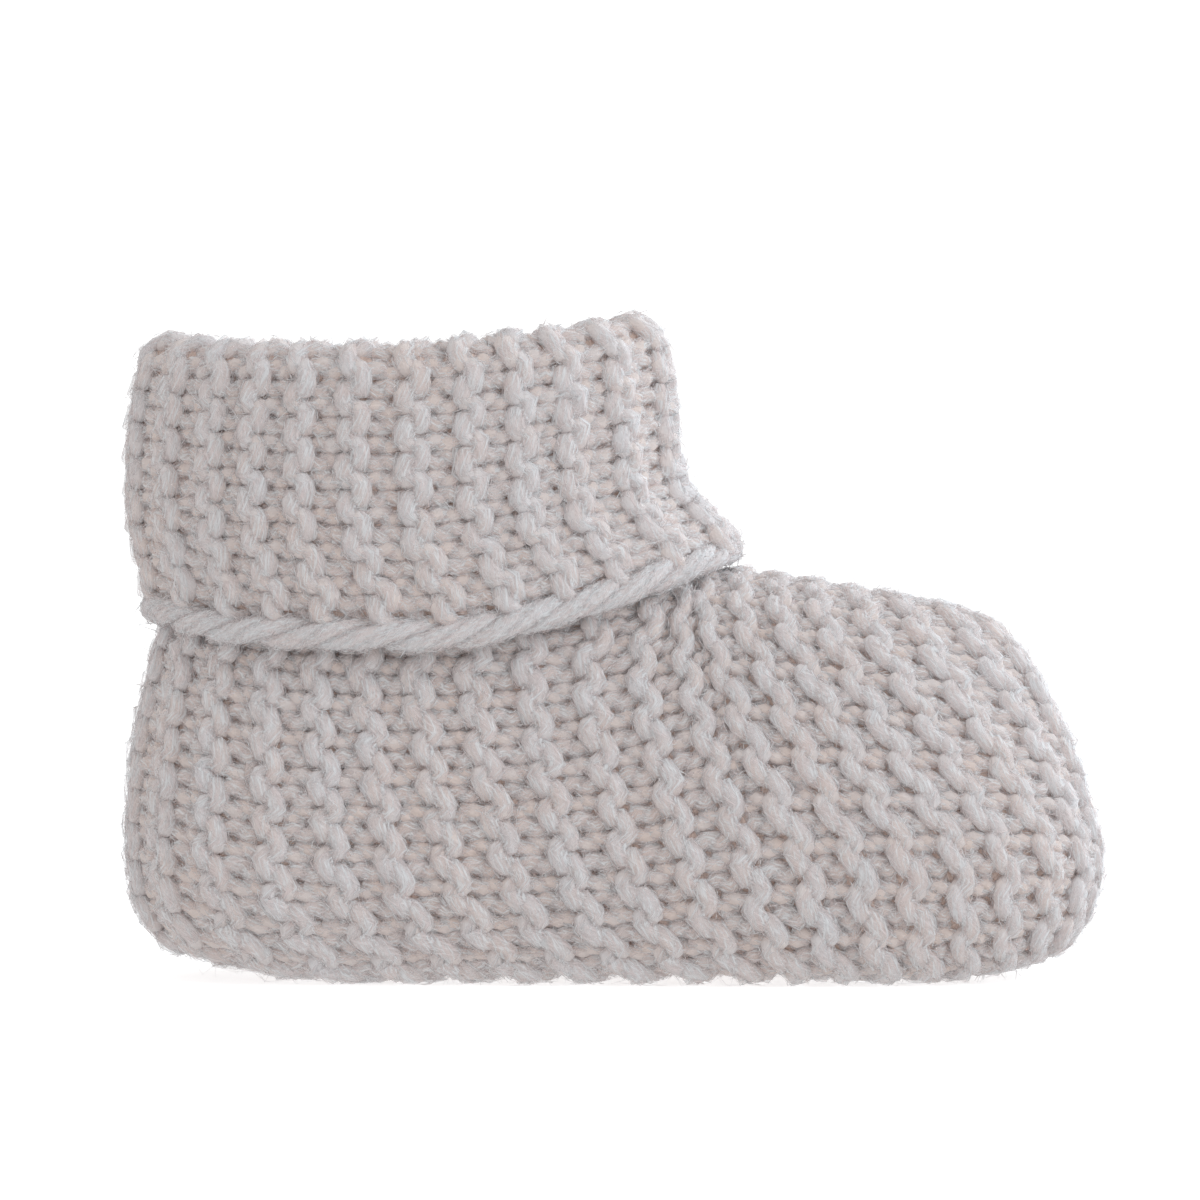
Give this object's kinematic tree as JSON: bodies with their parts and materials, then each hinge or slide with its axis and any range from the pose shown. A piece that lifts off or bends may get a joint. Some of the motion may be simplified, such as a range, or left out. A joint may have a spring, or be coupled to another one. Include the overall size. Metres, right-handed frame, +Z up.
{
  "type": "knitted baby bootie",
  "caption": "Garter-stitch knitted bootie for a newborn: one hollow upper with a turned-down cuff, a sole panel and a rolled edge round the cuff.",
  "frame": {"origin": "on the floor, midway along the length and the width of the bootie", "axes": "+X to the toe, +Y to the wearer's left side of the bootie, +Z up"},
  "size_m": [0.1, 0.0428, 0.0678],
  "materials": {
    "upper_wool": "soft low-twist wool in garter stitch, off-white mixed with warm grey",
    "sole_wool": "the same wool in a flat garter panel",
    "edge_wool": "the same wool in a rope-like chain edge"
  },
  "bodies": {
    "root": {"upper": "upper_wool", "sole": "sole_wool", "cuff_edge": "edge_wool"}
  },
  "joints": []
}
